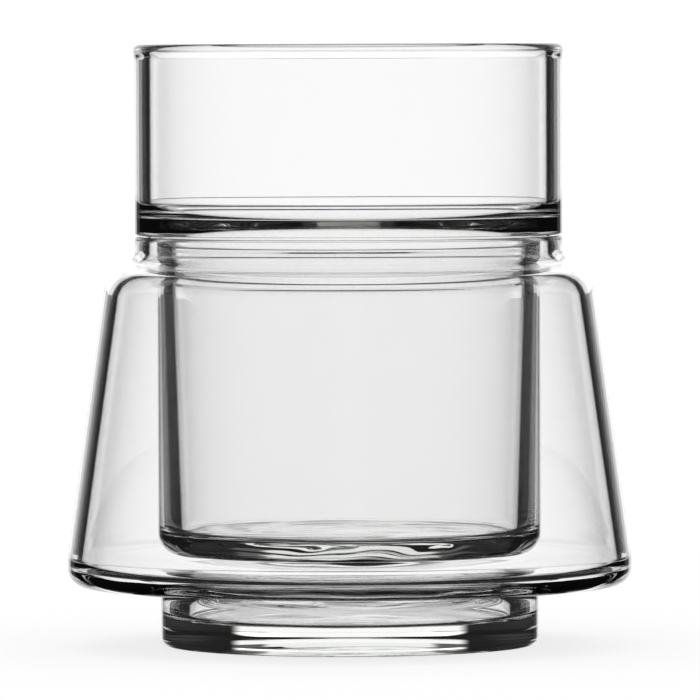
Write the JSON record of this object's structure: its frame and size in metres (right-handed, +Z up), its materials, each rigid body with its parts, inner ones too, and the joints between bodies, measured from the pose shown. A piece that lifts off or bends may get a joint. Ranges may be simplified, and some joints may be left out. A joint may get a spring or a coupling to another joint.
{
  "type": "espresso glass",
  "caption": "Clear two-piece espresso glass: a stepped drinking glass hangs by its ledge in the neck of a flared outer glass on a round foot.",
  "frame": {"origin": "on the common axis, in the plane that the foot stands on", "axes": "+Z up along the axis of both glasses, towards the rim"},
  "size_m": [0.079, 0.079, 0.0843],
  "materials": {
    "clear_glass": "clear soda-lime glass, fire-polished, smooth and glossy"
  },
  "bodies": {
    "outer": {"outer_glass": "clear_glass"},
    "insert": {"insert_glass": "clear_glass"}
  },
  "joints": [
    {"name": "insert_lift", "type": "slide", "parent": "outer", "child": "insert", "axis": [0, 0, 1], "range_m": [0, 0.055]}
  ]
}
